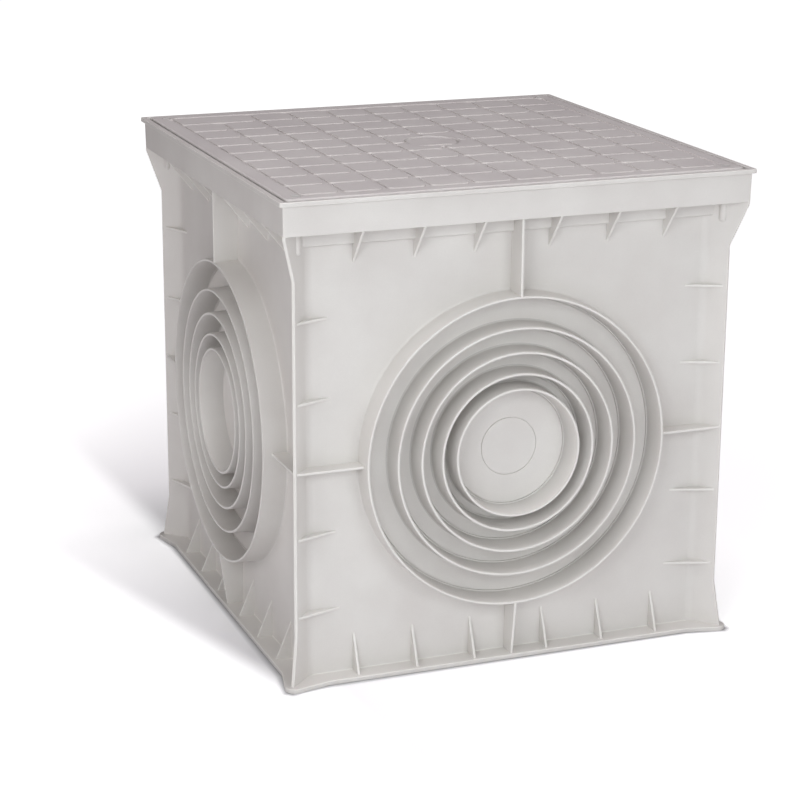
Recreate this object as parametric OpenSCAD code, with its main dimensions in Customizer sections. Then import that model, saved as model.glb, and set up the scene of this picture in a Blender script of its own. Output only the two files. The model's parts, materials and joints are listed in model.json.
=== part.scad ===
// Drain inspection chamber. A square moulded chamber carries five nested pipe rings on each of
// its four sides, thin ribs between them, and a stepped collar that holds a tiled lid.
// Sizes are in millimetres. Z is up, and z = 0 is the underside of the base.

/* [Chamber] */
// Width over the lip, the widest part
lip_w = 400; // [380:0.5:420]
// Height from the base to the top of the lip
chamber_h = 395.5; // [380:0.5:420]
// How far the lip stands out past the walls
lip_out = 27.75; // [26:0.25:30]
// Thickness of the walls
wall_t = 3.5; // [3:0.25:4]
// Thickness of the floor and its flange
floor_t = 3.8; // [3:0.1:5]
// How far the flange stands out of the walls at the middle of a side
flange_out = 16.5; // [14:0.25:19]
// How far the flange stands out of the walls at its corners
flange_corner_out = 23.25; // [22:0.25:26]
// Radius of the flange's corners
flange_corner_r = 8; // [5:0.5:12]

/* [Collar] */
// Height of the lip's outer face
lip_h = 3.5; // [2.5:0.25:5]
// Width of the lip's flat top
lip_land = 5; // [4:0.25:6]
// Step from the lip's outer face in to the collar
lip_over = 3; // [2:0.25:3.5]
// Radius of the lip's corners
lip_corner_r = 2.5; // [1:0.5:6]
// Height of the collar from the ledge's underside to the lip's top
collar_h = 27; // [24:0.5:30]
// Thickness of the ledge under the lid
ledge_t = 3; // [2.5:0.25:4]
// Height of the thicker band of wall under the ledge
band_h = 13.6; // [10:0.2:16]
// How far that band stands out of the wall
band_out = 4.5; // [3:0.25:6]

/* [Pipe rings] */
// Height of the pipes' centre line
ring_z = 178; // [175:1:185]
// How far the rings stand out of the wall
ring_out = 20.8; // [16:0.2:22]
// Thickness of a ring at its rim
rim_t = 2; // [1.6:0.1:2.4]
// Thickness of a ring at its foot
ring_foot_t = 2.8; // [2.4:0.1:3.2]
// Clearance between a pipe and its ring
pipe_gap = 1.3; // [0.8:0.1:1.8]
// Width of the cutting groove inside each ring
cut_w = 2; // [1.5:0.1:2.5]
// Depth of the cutting groove
cut_d = 1.2; // [0.8:0.1:1.6]
// Mean diameter of the drill circle on the middle disc
drill_d = 47.8; // [40:0.2:60]

/* [Ribs] */
// Thickness of the ribs
rib_t = 2; // [1.6:0.1:2.6]
// Spacing of the ribs above and below the rings
rib_pitch = 50.2; // [46:0.2:52]
// Height of the rib triangles under the ledge
top_rib_h = 28.5; // [22:0.5:32]
// Height of the rib triangles over the flange
foot_rib_h = 30.7; // [26:0.1:34]
// Fillet at the foot of the rings and ribs
foot_fillet = 1.5; // [1:0.1:2]
// Thickness of the corner fins
fin_t = 2.8; // [2.4:0.1:3.4]
// How far the corner fins stand out of each wall
fin_out = 13.4; // [11:0.2:14]
// Radius between the corner fins and the walls
fin_fillet_r = 12; // [8:1:14]

/* [Lid] */
// Gap between the lid and the collar on each side
lid_gap = 2.5; // [1:0.25:4]
// Height of the lid's top above the lip
lid_proud = 0.7; // [0:0.1:1.5]
// Thickness of the lid's plate
lid_t = 4; // [3.5:0.1:5]
// Thickness of the lid's skirt and stiffening ribs
skirt_t = 2.5; // [2:0.1:3]
// Radius of the lid's top edge
lid_edge_r = 1.5; // [1:0.25:3]
// Radius of the lid's corners
lid_corner_r = 4; // [2:0.5:6]
// Plain border from the lid's edge to the tiled field
lid_border = 11.65; // [8:0.05:16]
// Number of raised tiles in a row
tiles = 10; // [8:1:12]
// Width of the grooves between the tiles
groove_w = 4.7; // [3:0.1:6]
// Corner radius of a raised tile
tile_r = 3.5; // [2:0.5:5]
// Depth of the grooves between the tiles
groove_d = 1; // [0.6:0.1:2]
// Diameter of the round recess in the middle
recess_d = 48; // [40:1:56]
// Depth of the round recess
recess_depth = 2.5; // [2:0.1:3]

/* [Lid screws] */
// Distance of each screw from the lid's two nearest edges
screw_inset = 11.5; // [10.5:0.25:12.5]
// Diameter of the screw heads
head_d = 7.4; // [6:0.1:8]
// Diameter of the screw shanks
shank_d = 3.5; // [3:0.1:4]
// Depth of the screw heads' tops below the lid's top
head_sunk = 3; // [2:0.5:5]
// Diameter of the bosses the screws bite into
boss_d = 7; // [6.5:0.5:9]

/* [Hidden] */

$fn = 96;

// outside diameters of the pipes that the rings take, largest first
pipe_ds = [250, 200, 160, 125, 100];

// overlap that joins one shape to the next
bite = 1;

// half widths, all taken from the lip's
lip_s = lip_w / 2;
collar_s = lip_s - lip_over;
lid_seat_s = lip_s - lip_land;
lid_s = lid_seat_s - lid_gap;
screw_s = lid_s - screw_inset;
wall_s = lip_s - lip_out;
fin_s = wall_s + fin_out;
flange_s = wall_s + flange_out;
flange_corner_s = wall_s + flange_corner_out;
wall_w = 2 * wall_s;
lid_w = 2 * lid_s;

// heights
ledge_under = chamber_h - collar_h;
ledge_top = ledge_under + ledge_t;
lid_top = chamber_h + lid_proud;
lid_h = lid_top - ledge_top;

// the largest ring, where the ribs end
ring_in = pipe_ds[0] / 2 + pipe_gap;
ring_mid = ring_in + rim_t / 3;

// flange: where its edge starts to run out to the corner, and at what angle
flare_s = flange_s - 30;
flare_a = 14;

// lid: the tiled field, with a groove round it, and the tiles that share it
field_s = lid_s - lid_border;
tile_pitch = (2 * field_s - groove_w) / tiles;
tile_w = tile_pitch - groove_w;
column_d = head_d + 5.6;
lid_rib_h = 14;

// screws
head_h = 2.4;
head_seat = lid_top - head_sunk - head_h;
screw_end = ledge_top - 14;
boss_end = ledge_top - 21;

body_colour = [0.86, 0.85, 0.83];
lid_colour = [0.81, 0.78, 0.77];
steel_colour = [0.62, 0.62, 0.63];

// ---- shared shapes ----

// corner points of a rounded rectangle, n steps to a corner
function rounded(w, d, r, n) = [
    for (q = [0 : 3], k = [0 : n])
        let (a = q * 90 + k * 90 / n)
            [(q == 0 || q == 3 ? 1 : -1) * (w / 2 - r) + r * cos(a),
             (q < 2 ? 1 : -1) * (d / 2 - r) + r * sin(a)]
];

module rounded_plate(w, r, h) {
    linear_extrude(h)
        polygon(rounded(w, w, r, 6));
}

// repeats a shape for the four sides of the chamber
module four_sides() {
    for (a = [0 : 90 : 270])
        rotate([0, 0, a])
            children();
}

// stands an outline up on the front wall: x is out of the wall, y is up
module upright_rib(x, outline) {
    translate([x, -wall_s, 0])
        rotate([90, 0, -90])
            linear_extrude(rib_t, center = true)
                polygon(outline);
}

// moves a shape onto the front wall, with its z axis out of the wall along the pipe
module on_pipe_axis() {
    translate([0, -wall_s, ring_z])
        rotate([90, 0, 0])
            children();
}

// ---- chamber body ----

// one corner of the flange: the edge runs out from the side, round the corner and back
function flange_corner() =
    let (c = flange_corner_s - flange_corner_r)
    concat(
        [[flange_s, flare_s]],
        [for (a = [-flare_a : (90 + 2 * flare_a) / 8 : 90 + flare_a + 0.01])
            [c + flange_corner_r * cos(a), c + flange_corner_r * sin(a)]],
        [[flare_s, flange_s]]
    );

module base_plate() {
    outline = [
        for (q = [0 : 3], p = flange_corner())
            [p[0] * cos(90 * q) - p[1] * sin(90 * q), p[0] * sin(90 * q) + p[1] * cos(90 * q)]
    ];
    linear_extrude(floor_t)
        polygon(outline);
}

module walls() {
    difference() {
        translate([-wall_s, -wall_s, 0])
            cube([wall_w, wall_w, ledge_top]);
        translate([wall_t - wall_s, wall_t - wall_s, -bite])
            cube([wall_w - 2 * wall_t, wall_w - 2 * wall_t, ledge_top + 2 * bite]);
    }
}

// the band of thicker wall under the ledge, with its lower edge eased
module wall_band() {
    ease = 1.5;
    low = ledge_under - band_h;
    difference() {
        translate([-wall_s - band_out, -wall_s - band_out, low])
            cube([wall_w + 2 * band_out, wall_w + 2 * band_out, band_h + bite]);
        translate([bite - wall_s, bite - wall_s, low - bite])
            cube([wall_w - 2 * bite, wall_w - 2 * bite, band_h + 3 * bite]);
        four_sides()
            translate([0, -wall_s - band_out, low])
                rotate([45, 0, 0])
                    cube([2 * lip_w, ease * sqrt(2), ease * sqrt(2)], center = true);
    }
}

module collar() {
    difference() {
        union() {
            translate([0, 0, ledge_under])
                rounded_plate(2 * collar_s, lip_corner_r / 3, collar_h - bite);
            translate([0, 0, chamber_h - lip_h])
                rounded_plate(lip_w, lip_corner_r, lip_h);
        }
        translate([0, 0, ledge_top])
            rounded_plate(2 * lid_seat_s, lip_corner_r / 2, collar_h);
        translate([0, 0, ledge_under - bite])
            linear_extrude(collar_h)
                square(wall_w - 2 * wall_t, center = true);
    }
}

// one pipe ring: true bore inside, drafted outside, with a fillet where it meets the wall
module pipe_ring(pipe_d) {
    r = pipe_d / 2 + pipe_gap;
    foot_r = r + ring_foot_t;
    rotate_extrude()
        polygon([
            [r, -bite], [r, ring_out], [r + rim_t, ring_out],
            [foot_r, foot_fillet], [foot_r + foot_fillet + bite, -bite]
        ]);
}

// the groove that guides the saw when a knock-out is cut away
module cutting_groove(r, w, d) {
    rotate_extrude()
        translate([r, -d])
            square([w, d + bite]);
}

module pipe_rings() {
    on_pipe_axis()
        for (pipe_d = pipe_ds)
            pipe_ring(pipe_d);
}

module cutting_grooves() {
    on_pipe_axis() {
        for (pipe_d = pipe_ds)
            cutting_groove(pipe_d / 2 + pipe_gap - 1.6 - cut_w, cut_w, cut_d);
        cutting_groove(drill_d / 2 - 0.6, 1.2, 0.8);
    }
}

// the ribs that stand upright on the front wall
module upright_ribs() {
    foot_out = flange_s - wall_s - 2.5;
    ledge_out = collar_s - wall_s - 1;
    // full-depth ribs in the middle, above and below the largest ring
    upright_rib(0, [
        [-bite, ring_z + ring_mid], [ring_out, ring_z + ring_mid],
        [ring_out, ledge_under + bite], [-bite, ledge_under + bite]
    ]);
    upright_rib(0, [
        [-bite, floor_t / 2], [foot_out, floor_t / 2],
        [ring_out, ring_z - ring_mid], [-bite, ring_z - ring_mid]
    ]);
    // triangles that carry the ledge and brace the flange
    for (side = [-1, 1], k = [0 : 2]) {
        x = side * (32 + k * rib_pitch);
        upright_rib(x, [
            [-bite, ledge_under - top_rib_h - bite * (top_rib_h + bite) / ledge_out],
            [ledge_out, ledge_under + bite], [-bite, ledge_under + bite]
        ]);
        upright_rib(x, [
            [-bite, floor_t / 2], [foot_out, floor_t / 2],
            [-bite, floor_t + foot_rib_h + bite * (foot_rib_h + floor_t / 2) / foot_out]
        ]);
    }
    // the slim fillets beside the middle ribs
    translate([0, -wall_s, ring_z + ring_mid])
        linear_extrude(ledge_under - ring_z - ring_mid)
            polygon([
                [-rib_t / 2 - foot_fillet - bite, bite], [0, -foot_fillet - rib_t / 2],
                [rib_t / 2 + foot_fillet + bite, bite]
            ]);
}

// the level ribs that run from the wall, or from the largest ring, to a corner fin
module level_ribs() {
    // height from the pipes' centre line, and how far each reaches along the wall
    levels = [[119.6, 17.6], [55, 19.2], [-54.8, 24.2], [-119.7, 27.2]];
    for (side = [-1, 1]) {
        for (level = levels)
            translate([0, 0, ring_z + level[0] - rib_t / 2])
                linear_extrude(rib_t)
                    polygon([
                        [side * (wall_s - level[1] - bite * (level[1] / fin_out + 1)), bite - wall_s],
                        [side * (fin_s - 1.2), 0.6 - fin_s],
                        [side * (wall_s - bite), bite - wall_s]
                    ]);
        translate([0, 0, ring_z - rib_t / 2])
            linear_extrude(rib_t)
                polygon([
                    [side * ring_mid, bite - wall_s], [side * ring_mid, -fin_s],
                    [side * (fin_s - bite), -fin_s], [side * (wall_s - bite), bite - wall_s]
                ]);
    }
}

// one corner: the diagonal fin, its fillets to both walls, and the boss for a lid screw
module corner() {
    rotate([0, 0, 45])
        rotate([90, 0, 0])
            linear_extrude(fin_t, center = true)
                polygon([
                    for (p = [
                        [wall_s - wall_t / 2, floor_t / 2], [flange_corner_s - 5, floor_t / 2],
                        [fin_s, 43], [fin_s, ledge_under - 37.5],
                        [collar_s - 0.8, ledge_under - 2],
                        [collar_s - 0.8, ledge_under + bite / 2],
                        [wall_s - wall_t / 2, ledge_under + bite / 2]
                    ]) [p[0] * sqrt(2), p[1]]
                ]);
    fin_fillet();
    mirror([1, -1, 0])
        fin_fillet();
    translate([screw_s, screw_s, boss_end])
        rotate_extrude()
            polygon([
                [0, 0], [boss_d * 0.25, 0.4], [boss_d * 0.42, 1.6], [boss_d / 2, 3.5],
                [boss_d / 2, ledge_top - boss_end - bite], [0, ledge_top - boss_end - bite]
            ]);
}

// a shallow curve between the wall and the fin, drawn in plan: both ends run on into the solid
module fin_fillet() {
    run = fin_fillet_r * tan(22.5);
    far = run + fin_fillet_r / 4;
    sink = fin_fillet_r / 40;
    translate([wall_s - fin_t / sqrt(2), wall_s, floor_t / 2])
        linear_extrude(ledge_under - floor_t / 2 + bite / 2)
            polygon(concat(
                [[sink, -bite], [-far, -bite], [-far, -sink]],
                [for (a = [-78.75 : 11.25 : -56.25])
                    [-run + fin_fillet_r * cos(a), fin_fillet_r * (1 + sin(a))]],
                [[(far + sink) / sqrt(2), (far - sink) / sqrt(2)]]
            ));
}

module chamber_body() {
    color(body_colour)
        difference() {
            union() {
                base_plate();
                walls();
                wall_band();
                collar();
                four_sides() {
                    pipe_rings();
                    upright_ribs();
                    level_ribs();
                    corner();
                }
            }
            four_sides() {
                cutting_grooves();
                translate([screw_s, screw_s, screw_end - 2])
                    cylinder(h = ledge_top, d = shank_d + 0.2, $fn = 32);
            }
        }
}

// ---- lid ----

// a square block with its upper edges rounded on all four sides
module lid_block() {
    r = lid_edge_r;
    s = lid_w / 2;
    profile = concat(
        [[-s, 0], [s, 0]],
        [for (a = [0 : 15 : 90]) [s - r + r * cos(a), lid_h - r + r * sin(a)]],
        [for (a = [90 : 15 : 180]) [r - s + r * cos(a), lid_h - r + r * sin(a)]]
    );
    intersection() {
        rotate([90, 0, 0])
            linear_extrude(lid_w, center = true)
                polygon(profile);
        rotate([90, 0, 90])
            linear_extrude(lid_w, center = true)
                polygon(profile);
        rounded_plate(lid_w, lid_corner_r, lid_h + bite);
    }
}

// plan of the grooves: the tile field less its tiles, the bare plate and the screw pads
module groove_plan() {
    first = -(tiles - 1) / 2 * tile_pitch;
    difference() {
        square(2 * field_s, center = true);
        for (i = [0 : tiles - 1], j = [0 : tiles - 1])
            if (j < tiles - 1 || i > 1)
                translate([first + i * tile_pitch, first + j * tile_pitch])
                    polygon(rounded(tile_w, tile_w, tile_r, 3));
        translate([first + tile_pitch / 2, -first])
            polygon(rounded(tile_w + tile_pitch, tile_w, tile_r, 3));
        for (x = [-screw_s, screw_s], y = [-screw_s, screw_s])
            translate([x, y])
                circle(d = column_d);
    }
}

module lid() {
    rib_s = lid_w / 2 - skirt_t / 2;
    color(lid_colour)
        translate([0, 0, ledge_top])
            difference() {
                union() {
                    difference() {
                        lid_block();
                        translate([0, 0, -bite])
                            linear_extrude(lid_h - lid_t + bite)
                                square(lid_w - 2 * skirt_t, center = true);
                    }
                    // stiffening ribs under the plate, both ways
                    for (a = [0 : 90 : 270])
                        rotate([0, 0, a])
                            translate([2 * tile_pitch, 0, lid_h - lid_t - lid_rib_h / 2 + bite / 2])
                                cube([skirt_t, 2 * rib_s, lid_rib_h + bite], center = true);
                    // thicker plate under the recess
                    translate([0, 0, lid_h - lid_t - recess_depth + bite])
                        cylinder(h = recess_depth, d = recess_d + 6);
                    // screw columns that stand on the ledge, webbed to the skirt
                    four_sides() {
                        translate([screw_s, screw_s, 0])
                            cylinder(h = lid_h - bite, d = column_d, $fn = 48);
                        for (m = [0, 1])
                            mirror([m, -m, 0])
                                translate([screw_s - rib_t / 2, screw_s, 0])
                                    cube([rib_t, rib_s - screw_s, lid_h - lid_t + bite / 2]);
                    }
                }
                translate([0, 0, lid_h - groove_d])
                    linear_extrude(groove_d + bite)
                        groove_plan();
                translate([0, 0, lid_h - recess_depth])
                    cylinder(h = recess_depth + bite, d = recess_d);
                four_sides()
                    translate([screw_s, screw_s, 0]) {
                        translate([0, 0, -bite])
                            cylinder(h = lid_h, d = shank_d + 1, $fn = 32);
                        translate([0, 0, head_seat - ledge_top])
                            cylinder(h = lid_h, d = head_d + 0.9, $fn = 48);
                    }
            }
}

// ---- lid screws ----

// a self-tapping pan-head screw with a cross recess
module lid_screw(x, y) {
    color(steel_colour)
        translate([x, y, head_seat])
            difference() {
                union() {
                    rotate_extrude($fn = 48)
                        polygon([
                            [0, 0], [head_d / 2, 0], [head_d / 2, head_h * 0.45],
                            [head_d * 0.42, head_h * 0.8], [head_d * 0.26, head_h], [0, head_h]
                        ]);
                    rotate_extrude($fn = 32)
                        polygon([
                            [0, head_h / 3], [0, screw_end - head_seat],
                            [0.4, screw_end - head_seat],
                            [shank_d / 2, screw_end - head_seat + 3], [shank_d / 2, head_h / 3]
                        ]);
                }
                for (a = [0, 90])
                    rotate([0, 0, a])
                        translate([0, 0, head_h])
                            cube([0.9, head_d * 0.6, head_h * 1.1], center = true);
            }
}

module lid_screw_front_left() {
    lid_screw(-screw_s, -screw_s);
}

module lid_screw_front_right() {
    lid_screw(screw_s, -screw_s);
}

module lid_screw_back_left() {
    lid_screw(-screw_s, screw_s);
}

module lid_screw_back_right() {
    lid_screw(screw_s, screw_s);
}

chamber_body();
lid();
lid_screw_front_left();
lid_screw_front_right();
lid_screw_back_left();
lid_screw_back_right();
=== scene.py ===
import json
from math import cos, pi, radians, sin, sqrt, tan

import bmesh
import bpy
from mathutils import Matrix, Vector

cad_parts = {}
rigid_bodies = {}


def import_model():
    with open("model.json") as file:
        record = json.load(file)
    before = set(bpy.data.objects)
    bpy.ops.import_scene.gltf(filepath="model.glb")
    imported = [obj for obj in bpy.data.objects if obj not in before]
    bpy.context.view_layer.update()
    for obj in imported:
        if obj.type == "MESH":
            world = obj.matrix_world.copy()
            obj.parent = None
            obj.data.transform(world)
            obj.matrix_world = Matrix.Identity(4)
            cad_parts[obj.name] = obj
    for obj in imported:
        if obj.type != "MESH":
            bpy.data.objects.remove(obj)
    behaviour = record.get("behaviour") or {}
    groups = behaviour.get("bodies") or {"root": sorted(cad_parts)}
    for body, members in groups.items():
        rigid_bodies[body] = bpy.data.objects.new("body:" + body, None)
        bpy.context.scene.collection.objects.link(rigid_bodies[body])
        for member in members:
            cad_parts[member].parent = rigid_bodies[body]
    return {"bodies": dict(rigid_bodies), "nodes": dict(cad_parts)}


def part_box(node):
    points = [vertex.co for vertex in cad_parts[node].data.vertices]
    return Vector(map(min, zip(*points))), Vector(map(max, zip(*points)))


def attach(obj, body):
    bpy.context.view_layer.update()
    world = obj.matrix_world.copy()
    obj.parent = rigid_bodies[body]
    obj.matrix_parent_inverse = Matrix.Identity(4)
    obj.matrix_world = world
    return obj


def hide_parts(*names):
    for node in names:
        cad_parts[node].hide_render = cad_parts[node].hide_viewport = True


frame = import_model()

mm = 0.001
slack = 0.1 * mm  # places closer than this count as one
sink = 1 * mm  # how far a piece is sunk into the one that carries it
past = 5 * mm  # how far a cutter reaches beyond what it cuts
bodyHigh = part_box("chamber_body")[1]
lidLow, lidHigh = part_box("lid")
lipHalf = bodyHigh.x  # half the width over the lip
lipTop = bodyHigh.z
lidHalf = lidHigh.x
lidTop = lidHigh.z
ledgeTop = lidLow.z  # the lid stands on the ledge

for leftover in list(bpy.data.objects):  # the start file's own cube, lamp and camera
    if leftover not in frame["nodes"].values() and leftover not in frame["bodies"].values():
        bpy.data.objects.remove(leftover)
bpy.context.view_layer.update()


# tools for modelling

def nothingPicked():
    if bpy.context.object and bpy.context.object.mode != "OBJECT":
        bpy.ops.object.mode_set(mode="OBJECT")
    bpy.ops.object.select_all(action="DESELECT")


def only(piece):
    nothingPicked()
    piece.select_set(True)
    bpy.context.view_layer.objects.active = piece


def openUp(piece, kind="FACE"):  # edit mode with nothing picked
    only(piece)
    bpy.ops.object.mode_set(mode="EDIT")
    bpy.ops.mesh.select_mode(type=kind)
    bpy.ops.mesh.select_all(action="DESELECT")


def closeUp():
    bpy.ops.object.mode_set(mode="OBJECT")


def pick(piece, kind, holds):
    bpy.ops.mesh.select_mode(type=kind)
    bpy.ops.mesh.select_all(action="DESELECT")
    shape = bmesh.from_edit_mesh(piece.data)
    for part in {"FACE": shape.faces, "EDGE": shape.edges, "VERT": shape.verts}[kind]:
        part.select_set(bool(holds(part)))
    shape.select_flush_mode()
    bmesh.update_edit_mesh(piece.data)


def pickFaces(piece, test):  # by the face's middle and direction
    pick(piece, "FACE", lambda face: test(face.calc_center_median(), face.normal))


def pickEdges(piece, test):  # by the places of the edge's two ends
    pick(piece, "EDGE", lambda edge: test(edge.verts[0].co, edge.verts[1].co))


def pickVerts(piece, test):
    pick(piece, "VERT", lambda vert: test(vert.co))


def isUpright(a, b):
    return abs(a.z - b.z) > slack


def levelAt(height):  # a test for edges that lie at one height
    return lambda a, b: abs(a.z - height) < slack and abs(b.z - height) < slack


def pull(move):
    bpy.ops.mesh.extrude_region_move(TRANSFORM_OT_translate={"value": move})


def faceOutwards():
    bpy.ops.mesh.select_all(action="SELECT")
    bpy.ops.mesh.normals_make_consistent(inside=False)


def setDown(piece):  # puts the place, turn and size of an object into its mesh
    only(piece)
    bpy.ops.object.transform_apply(location=True, rotation=True, scale=True)


def useModifier(piece, kind, **settings):
    only(piece)
    modifier = piece.modifiers.new(kind.title(), kind)
    for key, value in settings.items():
        setattr(modifier, key, value)
    bpy.ops.object.modifier_apply(modifier=modifier.name)


plainSkin, paintedHighlightSkin, paintedShadeSkin = 0, 1, 2  # the material slots that the body's pieces share: plain, painted highlight on edges, painted shade on deep walls


def bodySkins(piece):
    piece.data.materials.append(bodyPlastic)
    piece.data.materials.append(bodyHighlightEdge)


def giveSkin(piece, skin):  # to the picked faces
    piece.active_material_index = skin
    bpy.ops.object.material_slot_assign()


def softEdges(piece, width, angle=40):  # rounds every sharp edge, and gives the rounding a painted highlight
    if not piece.data.materials:
        bodySkins(piece)
    useModifier(piece, "BEVEL", width=width, segments=3, limit_method="ANGLE", material=paintedHighlightSkin,
                angle_limit=radians(angle), miter_outer="MITER_ARC", harden_normals=False)


def smoothBy(piece, angle):  # rounded edges shade softly, and broad faces stay flat
    only(piece)
    bpy.ops.object.shade_smooth_by_angle(angle=radians(angle))
    useModifier(piece, "WEIGHTED_NORMAL", keep_sharp=True, weight=100)


def block(name, low, high):
    nothingPicked()
    middle = [(a + b) / 2 for a, b in zip(low, high)]
    bpy.ops.mesh.primitive_cube_add(size=1, location=middle)
    piece = bpy.context.object
    piece.name = name
    piece.scale = [b - a for a, b in zip(low, high)]
    setDown(piece)
    return piece


def roundBlock(name, radius, low, high, steps, at=(0, 0)):
    nothingPicked()
    bpy.ops.mesh.primitive_cylinder_add(vertices=steps, radius=radius, depth=high - low,
                                        location=(*at, (low + high) / 2))
    piece = bpy.context.object
    piece.name = name
    setDown(piece)
    return piece


def plate(name, outline, thickness, place=Matrix(), paintHighlight=True):
    # an outline drawn flat, given its thickness about its middle, then stood in its place
    nothingPicked()
    bpy.ops.mesh.primitive_circle_add(vertices=len(outline), radius=1, fill_type="NGON")
    piece = bpy.context.object
    piece.name = name
    bodySkins(piece)
    for vert, point in zip(piece.data.vertices, outline):
        vert.co = (point[0], point[1], -thickness / 2)
    openUp(piece)
    faceOutwards()
    pull((0, 0, thickness))
    faceOutwards()
    if paintHighlight:  # the thin sides take the painted highlight
        pickFaces(piece, lambda middle, normal: abs(normal.z) < 0.5)
        giveSkin(piece, paintedHighlightSkin)
    closeUp()
    piece.matrix_world = place
    setDown(piece)
    return piece


def joined(name, pieces):
    for other in pieces:
        if pieces[0].data.materials and not other.data.materials:
            bodySkins(other)
    only(pieces[0])
    for other in pieces:
        other.select_set(True)
    bpy.ops.object.join()
    pieces[0].name = name
    return pieces[0]


def turnedCopy(piece, name, degrees):
    only(piece)
    bpy.ops.object.duplicate()
    copy = bpy.context.object
    copy.name = name
    copy.rotation_euler = (0, 0, radians(degrees))
    setDown(copy)
    return copy


def onAllSides(piece, base):  # the front one and its three turned copies
    piece.name = base + "_front"
    return [piece] + [turnedCopy(piece, base + side, degrees)
                      for side, degrees in (("_right", 90), ("_back", 180), ("_left", 270))]


def cutWith(piece, cutter):
    useModifier(piece, "BOOLEAN", operation="DIFFERENCE", object=cutter, solver="EXACT")


def drop(piece):
    bpy.data.objects.remove(piece)


# finishes

def linear(hexColour):  # an sRGB hex colour as the linear one that a shader takes
    parts = [int(hexColour[i:i + 2], 16) / 255 for i in (1, 3, 5)]
    return [c / 12.92 if c <= 0.04045 else ((c + 0.055) / 1.055) ** 2.4 for c in parts] + [1.0]


def addNode(tree, kind, settings=None, inputs=None, wires=None):
    node = tree.nodes.new(kind)
    for key, value in (settings or {}).items():
        setattr(node, key, value)
    for key, value in (inputs or {}).items():
        node.inputs[key].default_value = value
    for key, (source, output) in (wires or {}).items():
        tree.links.new(source.outputs[output], node.inputs[key])
    return node


def newMaterial(name):
    material = bpy.data.materials.new(name)
    material.use_nodes = True
    material.node_tree.nodes.clear()
    return material, material.node_tree


def paintedShadeTowardFoot(tree, place, colour, look):
    # scales a colour by how far out of the chamber's wall it lies: painted shade, darker toward the
    # foot of the deep walls and a little lighter at their rims
    fromMiddle = addNode(tree, "ShaderNodeVectorMath", {"operation": "ABSOLUTE"}, None,
                         {0: (place, "Object")})
    axes = addNode(tree, "ShaderNodeSeparateXYZ", None, None, {"Vector": (fromMiddle, "Vector")})
    out = addNode(tree, "ShaderNodeMath", {"operation": "MAXIMUM"}, None,
                  {0: (axes, "X"), 1: (axes, "Y")})
    tone = addNode(tree, "ShaderNodeMapRange", None,
                   {"From Min": look["foot"], "From Max": look["rim"],
                    "To Min": look["paintedShadeAtFoot"], "To Max": look["paintedLightAtRim"]},
                   {"Value": (out, "Value")})
    return addNode(tree, "ShaderNodeVectorMath", {"operation": "SCALE"}, None,
                   {0: (colour, "Vector"), "Scale": (tone, "Result")})


def mouldedPolypropylene(name, look):
    # injection-moulded polypropylene: a soft satin skin, faint cloudy flow shades, fine spark grain
    material, tree = newMaterial(name)
    low, high = 0.3, 0.7  # the noise lies mostly between these
    smoother, rougher = 0.04, 0.05  # how far the sheen drifts from place to place
    place = addNode(tree, "ShaderNodeTexCoord")
    cloud = addNode(tree, "ShaderNodeTexNoise", None,
                    {"Scale": 1 / look["cloud"], "Detail": 3.0, "Roughness": 0.5},
                    {"Vector": (place, "Object")})
    grain = addNode(tree, "ShaderNodeTexNoise", None,
                    {"Scale": 1 / look["grain"], "Detail": 2.0, "Roughness": 0.6},
                    {"Vector": (place, "Object")})
    shades = addNode(tree, "ShaderNodeValToRGB", None, None, {"Fac": (cloud, "Fac")})
    stops = zip(shades.color_ramp.elements, (low, high), (look["dark"], look["light"]))
    for stop, position, tone in stops:
        stop.position = position
        stop.color = linear(tone)
    speckle = addNode(tree, "ShaderNodeMapRange", None,
                      {"From Min": low, "From Max": high,
                       "To Min": 1 - look["speckle"], "To Max": 1 + look["speckle"]},
                      {"Value": (grain, "Fac")})
    colour = addNode(tree, "ShaderNodeVectorMath", {"operation": "SCALE"}, None,
                     {0: (shades, "Color"), "Scale": (speckle, "Result")})
    # painted shade on deep walls
    if "paintedShadeAtFoot" in look:
        colour = paintedShadeTowardFoot(tree, place, colour, look)
    gloss = addNode(tree, "ShaderNodeMapRange", None,
                    {"From Min": low, "From Max": high,
                     "To Min": look["rough"] - smoother, "To Max": look["rough"] + rougher},
                    {"Value": (cloud, "Fac")})
    relief = addNode(tree, "ShaderNodeBump", None,
                     {"Strength": look["relief"], "Distance": 0.2 * mm}, {"Height": (grain, "Fac")})
    shader = addNode(tree, "ShaderNodeBsdfPrincipled", None, {"IOR": 1.49},
                     {"Base Color": (colour, "Vector"), "Roughness": (gloss, "Result"),
                      "Normal": (relief, "Normal")})
    addNode(tree, "ShaderNodeOutputMaterial", None, None, {"Surface": (shader, "BSDF")})
    return material


bodyLook = {
    "light": "#DEDCD8", "dark": "#D6D3CF",  # warm light grey and its slightly deeper flow shade
    "cloud": 55 * mm, "grain": 0.9 * mm, "speckle": 0.012,
    "rough": 0.46, "relief": 0.25,
}
lidLook = {
    "light": "#DAD7D4", "dark": "#D4D0CE",  # the lid's batch is a little duller
    "cloud": 60 * mm, "grain": 0.9 * mm, "speckle": 0.02,
    "rough": 0.52, "relief": 0.4,
}
highlightEdgeLook = {
    "light": "#E7E5E1", "dark": "#E2E0DB",  # a painted highlight: paler than the body, so that thin edges look lit
    "cloud": 55 * mm, "grain": 0.9 * mm, "speckle": 0.01,
    "rough": 0.34, "relief": 0.15,
}
bodyPlastic = mouldedPolypropylene("moulded polypropylene, light grey", bodyLook)
bodyHighlightEdge = mouldedPolypropylene("moulded polypropylene, painted edge highlight", highlightEdgeLook)
lidPlastic = mouldedPolypropylene("moulded polypropylene, lid grey", lidLook)


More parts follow.
